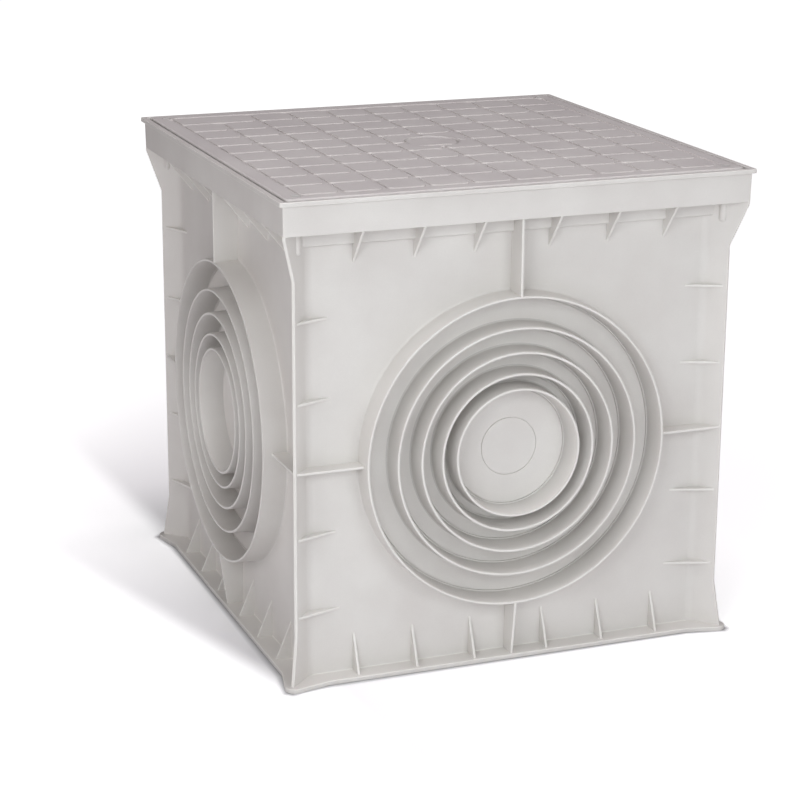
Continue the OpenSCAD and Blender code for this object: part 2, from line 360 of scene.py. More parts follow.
def platedSteel(name, look):
    # zinc-plated screw steel: a dull metallic grey, its lustre a little patchy
    material, tree = newMaterial(name)
    place = addNode(tree, "ShaderNodeTexCoord")
    patches = addNode(tree, "ShaderNodeTexNoise", None, {"Scale": 1 / look["patch"], "Detail": 2.0},
                      {"Vector": (place, "Object")})
    gloss = addNode(tree, "ShaderNodeMapRange", None,
                    {"To Min": look["rough"][0], "To Max": look["rough"][1]},
                    {"Value": (patches, "Fac")})
    shades = addNode(tree, "ShaderNodeValToRGB", None, None, {"Fac": (patches, "Fac")})
    shades.color_ramp.elements[0].color = linear(look["dark"])
    shades.color_ramp.elements[1].color = linear(look["light"])
    shader = addNode(tree, "ShaderNodeBsdfPrincipled", None, {"Metallic": 1.0},
                     {"Base Color": (shades, "Color"), "Roughness": (gloss, "Result")})
    addNode(tree, "ShaderNodeOutputMaterial", None, None, {"Surface": (shader, "BSDF")})
    return material


steelLook = {"light": "#A9A9AC", "dark": "#8E8E90", "patch": 1.5 * mm, "rough": (0.3, 0.5)}
screwSteel = platedSteel("zinc-plated steel, rolled", steelLook)


def finished(piece, material, node):  # the last steps for every new piece
    if not piece.data.materials:
        piece.data.materials.append(material)
    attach(piece, "root")
    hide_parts(node)


# the chamber's body: walls, floor and collar
chamber = {
    "wallHalf": 172.25 * mm, "wall": 3.5 * mm, "floor": 3.8 * mm,
    "flangeHalf": 188.75 * mm, "flangeCorner": 195.5 * mm, "flangeRadius": 8 * mm,
    "flare": 30 * mm, "flareAngle": 14, "flangeSoft": 0.7 * mm,
    "lipHeight": 3.5 * mm, "lipLand": 5 * mm, "lipOver": 3 * mm, "lipRadius": 2.5 * mm,
    "lipSoft": 0.45 * mm,
    "collarRadius": 0.8 * mm, "collarDraft": 0.4 * mm, "collarSoft": 0.35 * mm,
    "ledgeUnder": lipTop - 27 * mm,
    "bandHeight": 13.6 * mm, "bandOut": 4.5 * mm, "bandRound": 2 * mm,
    "inFloor": 2 * mm,  # ribs and fins start this high, inside the floor
    "finOut": 13.4 * mm, "finThick": 2.8 * mm, "finSoft": 0.5 * mm,
    "finFoot": 43 * mm, "finFootIn": 5 * mm,  # wider below this, almost to the flange's corner
    "finHead": 37.5 * mm, "finHeadIn": 0.8 * mm, "finHeadEdge": 2 * mm,  # the same under the ledge
    "finFillet": 12 * mm, "filletTurn": 48, "filletThick": 0.8 * mm, "filletSteps": 128,
    "bossAt": 181 * mm, "bossRadius": 3.5 * mm, "bossLength": 21 * mm, "bossRound": 2.8 * mm,
    "bossSteps": 40,
    "ribThick": 2 * mm, "ribSoft": 0.4 * mm,
    "ribPitch": 50.2 * mm, "firstRib": 32 * mm, "ribsPerSide": 3,
    "topRib": 28.5 * mm, "footRib": 30.7 * mm, "footRibIn": 2.5 * mm,
    # short level ribs: each one's height from the rings' middle and its reach along the wall
    "levels": ((119.6 * mm, 17.6 * mm), (55 * mm, 19.2 * mm),
               (-54.8 * mm, 24.2 * mm), (-119.7 * mm, 27.2 * mm)),
    "levelIn": 1.2 * mm,
    "footFillet": 0.8 * mm, "footFilletEnd": 4 * mm,
    "crease": 30,
}
rings = {
    "height": 178 * mm, "out": 20.8 * mm, "rim": 2 * mm, "foot": 2.8 * mm, "innerFoot": 2 * mm,
    "pipes": [250 * mm, 200 * mm, 160 * mm, 125 * mm, 100 * mm], "gap": 1.3 * mm,
    "cutFrom": 3 * mm, "cutWide": 0.8 * mm, "cutDeep": 1.2 * mm, "cutBottom": 0.5 * mm,
    "drillRadius": 23.9 * mm, "drillWide": 0.8 * mm, "drillDeep": 0.8 * mm,
    "rimSoft": 0.58 * mm, "fillet": 1.5 * mm, "innerFillet": 0.3 * mm, "steps": 192,
    "opening": 1.2 * mm, "border": 0.5 * mm, "borderSunk": 0.4 * mm, "thinner": 0.2 * mm,
}
paintedShadeLook = dict(bodyLook, rough=0.5, paintedShadeAtFoot=0.82, paintedLightAtRim=1.05,  # painted shade: darker toward the foot, lighter at the rim
                foot=chamber["wallHalf"], rim=chamber["wallHalf"] + rings["out"])
paintedShadePlastic = mouldedPolypropylene("moulded polypropylene, deep walls, painted shade", paintedShadeLook)
wallHalf = chamber["wallHalf"]
ledgeUnder = chamber["ledgeUnder"]
finHalf = wallHalf + chamber["finOut"]
ringInner = [pipe / 2 + rings["gap"] for pipe in rings["pipes"]]
grooveBottom = rings["cutBottom"] / 2


def wallTube():
    # four walls in one tube, with a round opening in each for its ring panel
    tube = block("wall_tube", (-wallHalf, -wallHalf, sink), (wallHalf, wallHalf, ledgeTop))
    inner = wallHalf - chamber["wall"]
    hollow = block("hollow", (-inner, -inner, -2 * past), (inner, inner, ledgeTop + 2 * past))
    cutWith(tube, hollow)
    drop(hollow)
    throughBoth = 1000 * mm  # each cutter opens two walls at once
    for turn in ((90, 0, 0), (0, 90, 0)):
        nothingPicked()
        bpy.ops.mesh.primitive_cylinder_add(
            vertices=rings["steps"], radius=ringInner[0] + rings["opening"], depth=throughBoth,
            location=(0, 0, rings["height"]), rotation=[radians(t) for t in turn])
        cutter = bpy.context.object
        setDown(cutter)
        cutWith(tube, cutter)
        drop(cutter)
    return tube


def flangeOutline():
    # straight sides that flare out to rounded corners
    middle = chamber["flangeHalf"]
    start = middle - chamber["flare"]
    radius = chamber["flangeRadius"]
    centre = chamber["flangeCorner"] - radius
    flare = chamber["flareAngle"]
    steps = 10
    corner = [(middle, start)]
    for k in range(steps + 1):
        a = radians(-flare + (90 + 2 * flare) * k / steps)
        corner.append((centre + radius * cos(a), centre + radius * sin(a)))
    corner.append((start, middle))
    outline = []
    for q in range(4):
        c, s = cos(q * pi / 2), sin(q * pi / 2)
        outline += [(x * c - y * s, x * s + y * c) for x, y in corner]
    return outline


def basePlate():
    place = Matrix.Translation((0, 0, chamber["floor"] / 2))
    piece = plate("base_plate", flangeOutline(), chamber["floor"], place, paintHighlight=False)
    softEdges(piece, chamber["flangeSoft"])
    return piece


def squareRing(name, outer, inner, low, high, radius=0):
    # a square frame: a block with rounded corners, opened through by a second block
    piece = block(name, (-outer, -outer, low), (outer, outer, high))
    if radius:
        openUp(piece)
        pickEdges(piece, isUpright)
        bpy.ops.mesh.bevel(offset=radius, segments=5, affect="EDGES")
        closeUp()
    opening = block("opening", (-inner, -inner, low - past), (inner, inner, high + past))
    cutWith(piece, opening)
    drop(opening)
    return piece


def collarRing():
    # the lip, and the collar that carries it, a little narrower at its foot
    lipInner = lipHalf - chamber["lipLand"]
    lip = squareRing("lip", lipHalf, lipInner, lipTop - chamber["lipHeight"], lipTop,
                     chamber["lipRadius"])
    softEdges(lip, chamber["lipSoft"])
    outer = lipHalf - chamber["lipOver"]
    collar = squareRing("collar", outer, lipInner + slack, ledgeUnder, lipTop - sink,
                        chamber["collarRadius"])
    openUp(collar)
    pickVerts(collar, lambda v: v.z < ledgeUnder + slack
              and max(abs(v.x), abs(v.y)) > outer - 2 * chamber["collarRadius"])
    narrower = 1 - chamber["collarDraft"] / outer
    bpy.ops.transform.resize(value=(narrower, narrower, 1), center_override=(0, 0, ledgeUnder))
    closeUp()
    softEdges(collar, chamber["collarSoft"])
    return joined("collar", [lip, collar])


def wallBand():
    # the thicker band of wall under the ledge, its lower edge well rounded
    outer = wallHalf + chamber["bandOut"]
    low = ledgeUnder - chamber["bandHeight"]
    piece = squareRing("wall_band", outer, wallHalf - sink, low, ledgeUnder + sink)

    def isOuterFoot(a, b):
        onSide = min(abs(a.x), abs(b.x)) > outer - slack or min(abs(a.y), abs(b.y)) > outer - slack
        return levelAt(low)(a, b) and onSide

    openUp(piece)
    pickEdges(piece, isOuterFoot)
    bpy.ops.mesh.bevel(offset=chamber["bandRound"], segments=4, affect="EDGES")
    closeUp()
    return piece


print("walls, floor and collar")
tube = wallTube()
base = basePlate()
collar = collarRing()
ledge = squareRing("ledge", lipHalf - chamber["lipLand"] + sink, wallHalf,
                   ledgeUnder + slack / 2, ledgeTop)
band = wallBand()


# the chamber's body: pipe rings

def nearRadius(point, radius, within=slack / 2):
    return abs(point.xy.length - radius) < within


def drawRings(outer, grooves):
    # a disc, inset wherever a ring or a groove begins or ends
    loops = []
    for inner in ringInner:
        loops += [inner + rings["foot"], inner - rings["innerFoot"]]
    for middle, wide, deep in grooves:
        loops += [middle + wide / 2, middle + grooveBottom]
        loops += [middle - grooveBottom, middle - wide / 2]
    nothingPicked()
    bpy.ops.mesh.primitive_circle_add(vertices=rings["steps"], radius=outer, fill_type="NGON")
    panel = bpy.context.object
    bodySkins(panel)
    panel.data.materials.append(paintedShadePlastic)
    openUp(panel)
    bpy.ops.mesh.select_all(action="SELECT")
    last = outer
    for radius in sorted(loops, reverse=True):
        bpy.ops.mesh.inset(thickness=last - radius)
        last = radius
    return panel


def raiseRings(panel):
    for inner in ringInner:
        low, high = inner - rings["innerFoot"] + slack, inner + rings["foot"] - slack
        pickFaces(panel, lambda middle, normal: low < middle.xy.length < high
                  and abs(middle.z) < slack)
        pull((0, 0, rings["out"]))
        # the ring's rim takes the painted highlight
        giveSkin(panel, paintedHighlightSkin)
        sides = ((inner + rings["foot"], inner + rings["rim"]), (inner - rings["innerFoot"], inner))
        for foot, rim in sides:  # both sides of the ring lean in to its thin rim
            pickVerts(panel, lambda v: v.z > rings["out"] - slack and nearRadius(v, foot))
            bpy.ops.transform.resize(value=(rim / foot, rim / foot, 1), center_override=(0, 0, 0))
    inTheOpen = ringInner[0] + rings["rim"] / 2  # the outermost side keeps the plain skin, without painted shade
    # the walls between the rings take the painted shade
    pickFaces(panel, lambda middle, normal: abs(normal.z) < 0.5 and middle.z > slack
              and middle.xy.length < inTheOpen)
    giveSkin(panel, paintedShadeSkin)


def softenRings(panel):
    def soften(radius, height, width, segments, skin):
        pickEdges(panel, lambda a, b: levelAt(height)(a, b)
                  and nearRadius(a, radius) and nearRadius(b, radius))
        bpy.ops.mesh.bevel(offset=width, segments=segments, affect="EDGES", material=skin)

    for inner in ringInner:
        outside = plainSkin if inner == ringInner[0] else paintedShadeSkin
        soften(inner + rings["rim"], rings["out"], rings["rimSoft"], 3, plainSkin)
        soften(inner, rings["out"], rings["rimSoft"], 3, plainSkin)
        soften(inner + rings["foot"], 0, rings["fillet"], 4, outside)
        soften(inner - rings["innerFoot"], 0, rings["innerFillet"], 2, paintedShadeSkin)


def ringPanel():
    # the round panel of one wall, with its pipe rings, saw guides and drill circle
    outer = ringInner[0] + rings["foot"] + rings["fillet"] + rings["border"]
    grooves = [(inner - rings["cutFrom"] - rings["cutWide"] / 2, rings["cutWide"], rings["cutDeep"])
               for inner in ringInner]
    grooves.append((rings["drillRadius"], rings["drillWide"], rings["drillDeep"]))
    panel = drawRings(outer, grooves)
    raiseRings(panel)
    for middle, wide, deep in grooves:
        pickVerts(panel, lambda v: nearRadius(v, middle, grooveBottom + slack / 2))
        bpy.ops.transform.translate(value=(0, 0, -deep))
    softenRings(panel)
    pickVerts(panel, lambda v: nearRadius(v, outer))
    bpy.ops.transform.translate(value=(0, 0, -rings["borderSunk"]))
    pickEdges(panel, lambda a, b: nearRadius(a, outer) and nearRadius(b, outer))
    pull((0, 0, rings["thinner"] - chamber["wall"]))
    bpy.ops.mesh.edge_face_add()
    faceOutwards()
    closeUp()
    panel.rotation_euler = (radians(90), 0, 0)
    panel.location = (0, -wallHalf, rings["height"])
    setDown(panel)
    smoothBy(panel, chamber["crease"])
    return onAllSides(panel, "pipe_rings")


print("pipe rings")
ringPanels = ringPanel()


# the chamber's body: ribs and fins

def upright(x):  # stands an outline on the front wall: its x is out of the wall, its y is up
    return Matrix(((0, 0, -1, x), (-1, 0, 0, -wallHalf), (0, 1, 0, 0), (0, 0, 0, 1)))


def ribShapes():
    # every rib of the front wall, as its outline and its place
    middle, inFloor = rings["height"], chamber["inFloor"]
    ringEnd = ringInner[0] + rings["rim"] / 3
    footOut = chamber["flangeHalf"] - wallHalf - chamber["footRibIn"]
    ledgeOut = lipHalf - chamber["lipOver"] - wallHalf - sink
    top = ledgeUnder + sink
    shapes = [  # from the largest ring up to the ledge, and down to the flange
        ([(-sink, middle + ringEnd), (rings["out"], middle + ringEnd), (rings["out"], top),
          (-sink, top)], upright(0)),
        ([(-sink, inFloor), (footOut, inFloor), (rings["out"], middle - ringEnd),
          (-sink, middle - ringEnd)], upright(0)),
    ]
    topTip = ledgeUnder - chamber["topRib"] - sink * (chamber["topRib"] + sink) / ledgeOut
    footTip = chamber["floor"] + chamber["footRib"] * (1 + sink / footOut) + sink
    for side in (-1, 1):
        for k in range(chamber["ribsPerSide"]):  # triangles under the ledge and over the flange
            place = upright(side * (chamber["firstRib"] + k * chamber["ribPitch"]))
            shapes.append(([(-sink, topTip), (ledgeOut, top), (-sink, top)], place))
            shapes.append(([(-sink, inFloor), (footOut, inFloor), (-sink, footTip)], place))
    short = chamber["levelIn"]
    for side in (-1, 1):
        root = (side * (wallHalf - sink), sink - wallHalf)
        for up, reach in chamber["levels"]:
            start = (side * (wallHalf - reach - short - sink * (reach / chamber["finOut"] + 1)),
                     sink - wallHalf)
            end = (side * (finHalf - short), short / 2 - finHalf)
            shapes.append(([start, end, root], Matrix.Translation((0, 0, middle + up))))
        # from the largest ring out to the corner fin
        shapes.append(([(side * ringEnd, sink - wallHalf), (side * ringEnd, -finHalf),
                        (side * (finHalf - sink), -finHalf), root],
                       Matrix.Translation((0, 0, middle))))
    return shapes


def footFillet():
    # the small hollow curve between the wall and the floor
    size, up = chamber["footFillet"], chamber["floor"]
    steps = 4
    turns = [k * pi / 2 / steps for k in range(steps + 1)]
    curve = [(size - size * cos(a), up + size - size * sin(a)) for a in turns]
    outline = [(-sink, up - sink), (size, up - sink)] + curve[::-1] + [(-sink, up + size)]
    return plate("foot", outline, 2 * (wallHalf - chamber["footFilletEnd"]), upright(0))


def wallRibs():
    ribs = joined("wall_ribs", [plate("rib", outline, chamber["ribThick"], place)
                                for outline, place in ribShapes()])
    softEdges(ribs, chamber["ribSoft"])
    ribs = joined("wall_ribs", [ribs, footFillet()])
    smoothBy(ribs, chamber["crease"])
    return onAllSides(ribs, "wall_ribs")


def hollowCurve(otherSide):
    # a thin strip that curves from the wall into one side of the fin
    radius = chamber["finFillet"]
    run = radius * tan(radians(45 / 2))  # from the corner to where the curve leaves the wall
    corner = wallHalf - chamber["finThick"] / sqrt(2)
    end = wallHalf + radius * (1 - cos(radians(chamber["filletTurn"])))
    centre = (corner - run, wallHalf + radius, chamber["inFloor"])
    nothingPicked()
    bpy.ops.mesh.primitive_circle_add(vertices=chamber["filletSteps"], radius=radius,
                                      fill_type="NOTHING", location=centre)
    strip = bpy.context.object
    setDown(strip)
    openUp(strip, "VERT")
    pickVerts(strip, lambda v: v.y > end or v.x < corner - run - chamber["filletThick"])
    bpy.ops.mesh.delete(type="VERT")
    bpy.ops.mesh.select_all(action="SELECT")
    pull((0, 0, ledgeUnder + sink / 2 - chamber["inFloor"]))
    closeUp()
    useModifier(strip, "SOLIDIFY", thickness=chamber["filletThick"], offset=-1.0)
    if otherSide:
        strip.matrix_world = Matrix(((0, 1, 0, 0), (1, 0, 0, 0), (0, 0, 1, 0), (0, 0, 0, 1)))
        setDown(strip)
    strip.matrix_world = Matrix.Rotation(radians(-90), 4, "Z")
    setDown(strip)
    openUp(strip)
    faceOutwards()
    closeUp()
    return strip


def cornerFin():
    # the diagonal fin of one corner, the hollow curves beside it, and the boss of a lid screw
    root = wallHalf - chamber["wall"] / 2
    top = ledgeUnder + sink / 2
    headOut = lipHalf - chamber["lipOver"] - chamber["finHeadIn"]
    diagonal = [(root, chamber["inFloor"]),
                (chamber["flangeCorner"] - chamber["finFootIn"], chamber["inFloor"]),
                (finHalf, chamber["finFoot"]), (finHalf, ledgeUnder - chamber["finHead"]),
                (headOut, ledgeUnder - chamber["finHeadEdge"]), (headOut, top), (root, top)]
    place = Matrix.Rotation(radians(-45), 4, "Z") @ Matrix.Rotation(radians(90), 4, "X")
    fin = plate("fin", [(x * sqrt(2), z) for x, z in diagonal], chamber["finThick"], place)
    softEdges(fin, chamber["finSoft"])
    curves = [hollowCurve(otherSide) for otherSide in (False, True)]
    bossEnd = ledgeTop - chamber["bossLength"]
    boss = roundBlock("boss", chamber["bossRadius"], bossEnd, ledgeUnder + sink,
                      chamber["bossSteps"], (chamber["bossAt"], -chamber["bossAt"]))
    openUp(boss)
    pickEdges(boss, levelAt(bossEnd))
    bpy.ops.mesh.bevel(offset=chamber["bossRound"], segments=6, affect="EDGES")
    closeUp()
    whole = joined("corner_fin", [fin, boss] + curves)
    smoothBy(whole, chamber["crease"])
    return onAllSides(whole, "corner_fin")


print("ribs and fins")
wallRibSets = wallRibs()
cornerFins = cornerFin()
for piece in (tube, base, collar, ledge, band):
    smoothBy(piece, chamber["crease"])
for piece in [tube, base, collar, ledge, band] + ringPanels + wallRibSets + cornerFins:
    finished(piece, bodyPlastic, "chamber_body")


# the lid
lid = {
    "corner": 4 * mm, "edge": 1.5 * mm, "plate": 4 * mm, "skirt": 2.5 * mm, "ribDeep": 14 * mm,
    "tiles": 10, "pitch": 35.7 * mm, "tile": 31 * mm, "tileRadius": 4.5 * mm, "groove": 1 * mm,
    "tileSoft": 0.2 * mm, "tileFoot": 0.3 * mm, "barePlaces": 2,
    "line": 0.5 * mm, "lineDeep": 0.6 * mm, "lineEnd": 3 * mm,
    "recess": 48 * mm, "recessDeep": 2.5 * mm, "recessRim": 0.15 * mm, "recessPad": 3 * mm,
    "moatSide": 0.4 * mm, "moatWide": 1.9 * mm, "moatRise": 0.5 * mm, "moatDeep": 2.3 * mm,
    "dishFloor": 0.75 * mm, "dishFoot": 0.3 * mm,
    "gripFrom": -12 * mm, "gripDeep": 1.8 * mm, "gripIn": 0.6 * mm,
    "screw": 181 * mm, "pad": 13 * mm, "counterbore": 8.3 * mm, "shankHole": 4.5 * mm,
    "headSunk": 3 * mm, "headHeight": 2.4 * mm,
    "steps": 48, "recessSteps": 96, "crease": 32,
}
firstTile = -(lid["tiles"] - 1) / 2 * lid["pitch"]
fieldHalf = -firstTile + lid["tile"] / 2 + lid["pitch"] - lid["tile"]
grooveFloor = lidTop - lid["groove"]
plateUnder = lidTop - lid["plate"]
recessHalf = lid["recess"] / 2
screwPlaces = [(x * lid["screw"], y * lid["screw"]) for x in (-1, 1) for y in (-1, 1)]


def cutRound(piece, radius, low, steps, at=(0, 0)):  # a round hole from the lid's top down
    cutter = roundBlock("cutter", radius, low, lidTop + past, steps, at)
    cutWith(piece, cutter)
    drop(cutter)


def lidShell():
    # plate and skirt in one: rounded corners, a sunk tile field and a hollow underside
    piece = block("lid_shell", (-lidHalf, -lidHalf, ledgeTop), (lidHalf, lidHalf, lidTop))
    openUp(piece)
    pickEdges(piece, isUpright)
    bpy.ops.mesh.bevel(offset=lid["corner"], segments=6, affect="EDGES")
    pickFaces(piece, lambda middle, normal: normal.z < -0.9)
    bpy.ops.mesh.inset(thickness=lid["skirt"])
    pull((0, 0, plateUnder - ledgeTop))
    pickEdges(piece, levelAt(lidTop))
    bpy.ops.mesh.bevel(offset=lid["edge"], segments=5, affect="EDGES")
    closeUp()
    field = block("field", (-fieldHalf, -fieldHalf, grooveFloor),
                  (fieldHalf, fieldHalf, lidTop + past))
    for at in screwPlaces:  # the screw pads keep their height
        pad = roundBlock("pad", lid["pad"] / 2, ledgeTop, lidTop + 2 * past, lid["steps"], at)
        cutWith(field, pad)
        drop(pad)
    cutWith(piece, field)
    drop(field)
    lines = columnLines()
    cutWith(piece, lines)
    drop(lines)
    return piece


def columnLines():  # what is cut away for the fine line down the left side of each column of tiles
    end = fieldHalf - lid["lineEnd"]
    lines = []
    for i in range(lid["tiles"]):
        x = firstTile + i * lid["pitch"] - lid["tile"] / 2 - slack
        lines.append(block("line", (x - lid["line"], -end, grooveFloor - lid["lineDeep"]),
                           (x, end, grooveFloor + sink)))
    return joined("lines", lines)


def easeBorder(piece):  # rounds the border's inner edge, and that of the screw pads
    def onGroove(point):
        far = max(abs(point.x), abs(point.y))
        fromScrew = sqrt((abs(point.x) - lid["screw"]) ** 2 + (abs(point.y) - lid["screw"]) ** 2)
        return (point.z > lidTop - slack / 2 and lid["recess"] < far < fieldHalf + slack
                and fromScrew > lid["pad"] / 2 - slack)

    openUp(piece)
    pickEdges(piece, lambda a, b: onGroove(a) and onGroove(b))
    bpy.ops.mesh.bevel(offset=lid["tileSoft"], segments=3, affect="EDGES")
    closeUp()


def tileBlock(name, width, depth):
    # one raised tile: rounded corners and a soft top edge
    x, y = width / 2, depth / 2
    tile = block(name, (-x, -y, grooveFloor - lid["tileFoot"]), (x, y, lidTop))
    openUp(tile)
    pickEdges(tile, isUpright)
    bpy.ops.mesh.bevel(offset=lid["tileRadius"], segments=4, affect="EDGES")
    pickEdges(tile, levelAt(lidTop))
    bpy.ops.mesh.bevel(offset=lid["tileSoft"], segments=2, affect="EDGES")
    closeUp()
    return tile


def tileField():
    # one modelled tile and its copies, and the bare plate in place of the first of the last row
    model = tileBlock("tile", lid["tile"], lid["tile"])
    tiles = []
    for i in range(lid["tiles"]):
        for j in range(lid["tiles"]):
            if j == lid["tiles"] - 1 and i < lid["barePlaces"]:
                continue
            only(model)
            bpy.ops.object.duplicate()
            copy = bpy.context.object
            copy.location = (firstTile + i * lid["pitch"], firstTile + j * lid["pitch"], 0)
            setDown(copy)
            tiles.append(copy)
    drop(model)
    extra = (lid["barePlaces"] - 1) * lid["pitch"]
    barePlate = tileBlock("bare", lid["tile"] + extra, lid["tile"])
    barePlate.location = (firstTile + extra / 2, -firstTile, 0)
    setDown(barePlate)
    return joined("lid_tiles", tiles + [barePlate])


def screwColumns():
    columns = [roundBlock("column", lid["pad"] / 2, ledgeTop + 2 * slack, plateUnder + sink,
                          lid["steps"], at) for at in screwPlaces]
    return joined("lid_screw_columns", columns)


def lidRibs():
    low, top = plateUnder - lid["ribDeep"], plateUnder + sink
    reach = lidHalf - sink
    half = lid["skirt"] / 2
    ribs = []
    for side in (-2 * lid["pitch"], 2 * lid["pitch"]):
        ribs.append(block("rib", (side - half, -reach, low), (side + half, reach, top)))
        ribs.append(block("rib", (-reach, side - half, low), (reach, side + half, top)))
    return joined("lid_ribs", ribs)


def recessDish():
    # the recess: a disc with a narrow moat inside its rim, and a grip cut straight across its front
    radius = recessHalf + slack / 2
    bottom = lidTop - lid["recessDeep"]
    piece = roundBlock("lid_dish", radius, bottom - lid["dishFoot"], lidTop - lid["recessRim"],
                       lid["recessSteps"])
    piece.data.materials.append(lidPlastic)
    piece.data.materials.append(paintedShadePlastic)
    openUp(piece)
    pickFaces(piece, lambda middle, normal: normal.z > 0.9)
    floorRise = lid["recessRim"] + lid["moatDeep"] - lid["dishFloor"]
    steps = ((lid["moatSide"], -lid["moatDeep"]), (lid["moatWide"], 0),
             (lid["moatRise"], floorRise))
    for width, rise in steps:
        bpy.ops.mesh.inset(thickness=width)
        bpy.ops.transform.translate(value=(0, 0, rise))
    moatOuter = radius - lid["moatSide"] - slack
    moatInner = moatOuter - lid["moatWide"] - lid["moatRise"]
    pickFaces(piece, lambda middle, normal: moatInner < middle.xy.length < moatOuter
              and bottom - slack < middle.z < lidTop - lid["dishFloor"] - slack)
    giveSkin(piece, 1)  # the moat lies deep, and takes the plastic with painted shade, darker than the lid
    closeUp()
    grip = roundBlock("grip", radius - lid["gripIn"], lidTop - lid["gripDeep"], lidTop + past,
                      lid["recessSteps"])
    back = block("back", (-radius, lid["gripFrom"], ledgeTop), (radius, radius, lidTop + 2 * past))
    cutWith(grip, back)
    cutWith(piece, grip)
    drop(back)
    drop(grip)
    return piece


print("lid")
shell = lidShell()
tiles = tileField()
columns = screwColumns()
underRibs = lidRibs()
recessBottom = lidTop - lid["recessDeep"]
recessFloor = roundBlock("lid_recess", recessHalf + lid["recessPad"],
                         plateUnder - lid["recessDeep"] + sink, recessBottom - sink / 2,
                         lid["recessSteps"])
cutRound(shell, recessHalf, recessBottom, lid["recessSteps"])
cutRound(tiles, recessHalf + slack / 2, recessBottom, lid["recessSteps"])
holes = ((lid["counterbore"] / 2, lidTop - lid["headSunk"] - lid["headHeight"]),
         (lid["shankHole"] / 2, ledgeTop - past))
for at in screwPlaces:
    for radius, low in holes:
        cutRound(shell, radius, low, lid["steps"], at)
        cutRound(columns, radius + slack / 2, low, lid["steps"], at)
easeBorder(shell)
dish = recessDish()
for piece in (shell, tiles, columns, underRibs, recessFloor, dish):
    smoothBy(piece, lid["crease"])
    finished(piece, lidPlastic, "lid")


print("screws")
for name in ("front_left", "front_right", "back_left", "back_right"):
    screw = frame["nodes"]["lid_screw_" + name]
    for place in screw.material_slots:
        place.material = screwSteel


# floor, lights and camera
studio = {
    "floorColour": "#F3F3F5", "floorWide": 30,
    # what the camera sees added to the lit floor, around the chamber and far away
    "glowAround": 0.57, "glowFar": 1.0, "aroundReach": 0.34, "farReach": 2.5,
    "contact": 6 * mm, "paintedContactShade": 0.5,  # a painted contact shadow round the foot, this wide and this deep
    "air": 0.005,
    # each lamp: turn from the front, height, distance, size, power and colour, aimed at the chamber
    "lamps": {
        "front left": (-38, 22, 1.7, 0.6, 6.6, "#FAFDFF"),
        "front right": (10, 22, 1.7, 0.6, 4.6, "#FAFDFF"),
        "low front": (-5, 4, 2.4, 0.8, 7.3, "#FAFDFF"),
        "high front": (-20, 62, 2.2, 1.0, 5.6, "#FAFDFF"),
        "left side": (-85, 20, 3.0, 1.2, 12.3, "#FFF7F7"),
        "low left": (-60, 5, 2.4, 1.0, 2.2, "#FFF7F7"),
        "high left": (-60, 55, 2.4, 0.8, 4.0, "#FFF7F7"),
        "right side": (70, 25, 3.0, 1.2, 10.5, "#FFF6F6"),
        "far right": (30, 30, 3.0, 0.8, 3.8, "#FFF6F6"),
        "overhead": (0, 85, 2.4, 0.8, 16.9, "#FFF5FC"),
    },
}
# two soft shadows left of the chamber: the corner that each starts from, how many degrees its edge
# slants and how soft it is, its depth at the corner and how that changes along x and y, the most it
# may be, and between which places along x it ends
sideShadow = {
    "corner": (-0.187, -0.195), "slant": 15.8, "soft": 0.033,
    "depth": 0.7, "fall": (-0.26, -1.62), "most": 0.57, "ends": (-0.19, -0.184),
}
backShadow = {
    "corner": (-0.186, 0.195), "slant": 3.9, "soft": 0.032,
    "depth": 0.47, "fall": (1.24, -1.27), "most": 0.45, "ends": (-0.19, 0.1),
}


def shadowDepth(tree, place, shadow):
    # how far inside the shadow's edge a place lies, from 0 to 1, and how deep the shadow is there
    slant = radians(shadow["slant"])
    fromCorner = addNode(tree, "ShaderNodeVectorMath", {"operation": "SUBTRACT"},
                         {1: (*shadow["corner"], 0)}, {0: (place, "Object")})
    fromEdge = addNode(tree, "ShaderNodeVectorMath", {"operation": "DOT_PRODUCT"},
                       {1: (cos(slant), sin(slant), 0)}, {0: (fromCorner, "Vector")})
    inside = addNode(tree, "ShaderNodeMapRange", {"interpolation_type": "SMOOTHSTEP"},
                     {"From Min": -shadow["soft"] / 2, "From Max": shadow["soft"] / 2},
                     {"Value": (fromEdge, "Value")})
    slope = addNode(tree, "ShaderNodeVectorMath", {"operation": "DOT_PRODUCT"},
                    {1: (*shadow["fall"], 0)}, {0: (fromCorner, "Vector")})
    deep = addNode(tree, "ShaderNodeMapRange", None,
                   {"From Min": -shadow["depth"], "From Max": shadow["most"] - shadow["depth"],
                    "To Min": 0.0, "To Max": shadow["most"]}, {"Value": (slope, "Value")})
    axes = addNode(tree, "ShaderNodeSeparateXYZ", None, None, {"Vector": (place, "Object")})
    within = addNode(tree, "ShaderNodeMapRange", None,
                     {"From Min": shadow["ends"][0], "From Max": shadow["ends"][1],
                      "To Min": 1.0, "To Max": 0.0}, {"Value": (axes, "X")})
    depth = addNode(tree, "ShaderNodeMath", {"operation": "MULTIPLY"}, None,
                    {0: (inside, "Result"), 1: (deep, "Result")})
    depth = addNode(tree, "ShaderNodeMath", {"operation": "MULTIPLY"}, None,
                    {0: (depth, "Value"), 1: (within, "Result")})
    return inside, depth


